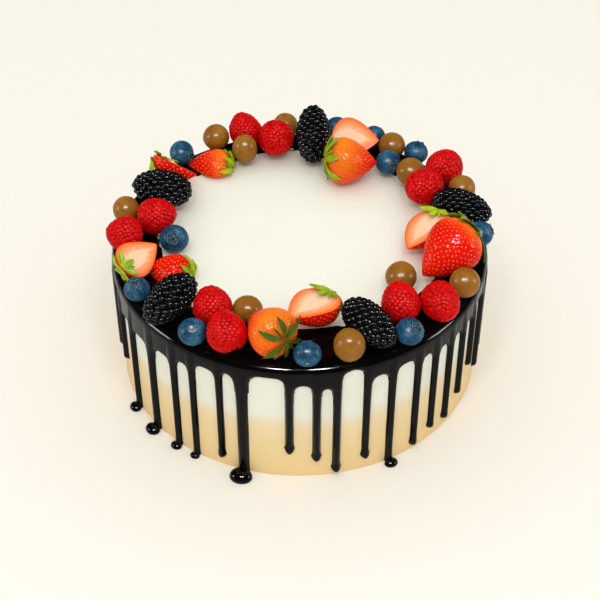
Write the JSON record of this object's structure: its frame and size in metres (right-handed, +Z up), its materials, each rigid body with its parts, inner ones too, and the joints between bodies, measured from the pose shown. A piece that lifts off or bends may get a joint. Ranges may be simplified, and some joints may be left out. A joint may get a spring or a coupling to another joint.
{
  "type": "drip cake",
  "caption": "Round frosted cake in two tones of cream, with a dark chocolate drip over the rim and a ring of berries, cut strawberries and malt balls on top.",
  "frame": {"origin": "middle of the flat base, on the surface that the cake stands on", "axes": "+Z up; -Y is the front, the side with the widest drip and its pool"},
  "size_m": [0.2112, 0.2132, 0.1136],
  "materials": {
    "tan_cream": "soft smooth buttercream, pale caramel",
    "white_cream": "soft smooth buttercream, ivory white",
    "ganache": "wet gloss, near black",
    "raspberry": "moist, half gloss",
    "bramble": "shiny, blue-black",
    "blueberry": "satin skin with a pale bloom",
    "malt_ball": "satin milk chocolate",
    "strawberry": "moist, half gloss, pink flesh where cut",
    "calyx": "matte leaf green"
  },
  "bodies": {
    "root": {"cream_lower": "tan_cream", "cream_upper": "white_cream", "ganache": "ganache", "raspberry_1": "raspberry", "raspberry_2": "raspberry", "raspberry_3": "raspberry", "raspberry_4": "raspberry", "raspberry_5": "raspberry", "raspberry_6": "raspberry", "raspberry_7": "raspberry", "raspberry_8": "raspberry", "raspberry_9": "raspberry", "raspberry_10": "raspberry", "bramble_1": "bramble", "bramble_2": "bramble", "bramble_3": "bramble", "bramble_4": "bramble", "bramble_5": "bramble", "blueberry_1": "blueberry", "blueberry_2": "blueberry", "blueberry_3": "blueberry", "blueberry_4": "blueberry", "blueberry_5": "blueberry", "blueberry_6": "blueberry", "blueberry_7": "blueberry", "blueberry_8": "blueberry", "blueberry_9": "blueberry", "blueberry_10": "blueberry", "blueberry_11": "blueberry", "malt_ball_1": "malt_ball", "malt_ball_2": "malt_ball", "malt_ball_3": "malt_ball", "malt_ball_4": "malt_ball", "malt_ball_5": "malt_ball", "malt_ball_6": "malt_ball", "malt_ball_7": "malt_ball", "malt_ball_8": "malt_ball", "malt_ball_9": "malt_ball", "malt_ball_10": "malt_ball", "malt_ball_11": "malt_ball", "strawberry_1": "strawberry", "strawberry_2": "strawberry", "strawberry_3": "strawberry", "strawberry_4": "strawberry", "strawberry_5": "strawberry", "strawberry_6": "strawberry", "strawberry_7": "strawberry", "strawberry_8": "strawberry", "strawberry_9": "strawberry", "strawberry_10": "strawberry", "calyx_1": "calyx", "calyx_2": "calyx", "calyx_3": "calyx", "calyx_4": "calyx", "calyx_5": "calyx", "calyx_6": "calyx", "calyx_7": "calyx", "calyx_8": "calyx", "calyx_9": "calyx"}
  },
  "joints": []
}
